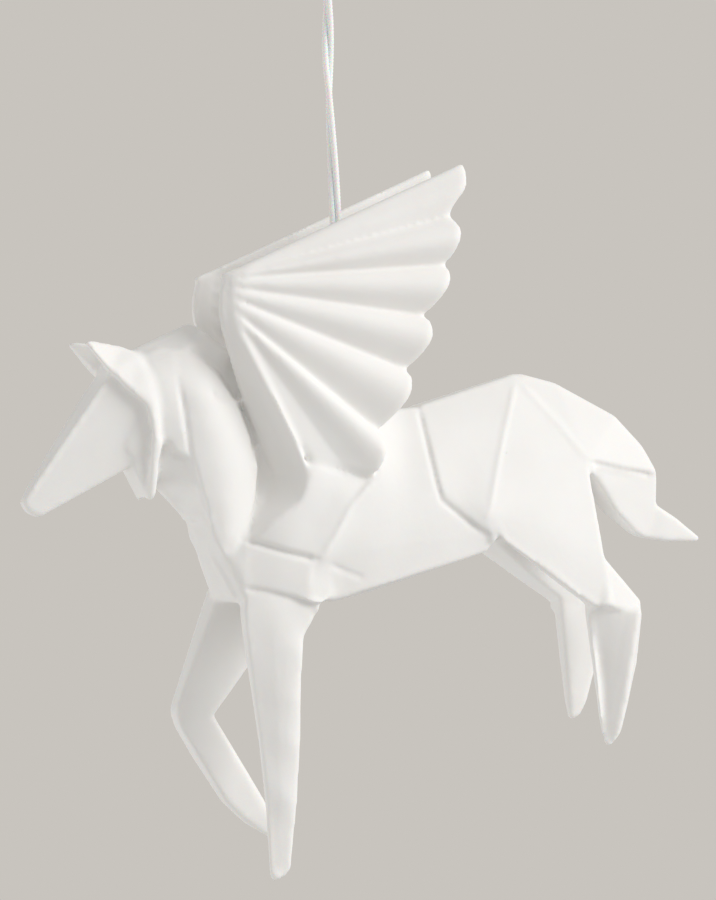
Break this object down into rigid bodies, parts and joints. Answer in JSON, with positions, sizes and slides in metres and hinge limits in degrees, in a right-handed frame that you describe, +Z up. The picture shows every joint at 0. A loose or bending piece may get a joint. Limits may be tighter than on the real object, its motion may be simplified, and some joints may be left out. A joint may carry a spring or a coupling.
{
  "type": "pegasus ornament",
  "caption": "Winged horse in folded-paper style, cast in one piece of white bisque porcelain, hung from a thin white cord through an eye on its back.",
  "frame": {"origin": "inside top of the cord's loop, where a hook holds it", "axes": "+Z up; the horse looks towards -X, nose down as it hangs; -Y is the side that the picture shows"},
  "size_m": [0.1144, 0.0252, 0.1535],
  "materials": {
    "bisque_porcelain": "unglazed, matte",
    "cord_white": "twisted thread"
  },
  "bodies": {
    "root": {"pegasus": "bisque_porcelain", "hanging_cord": "cord_white", "cord_knot": "cord_white"}
  },
  "joints": []
}
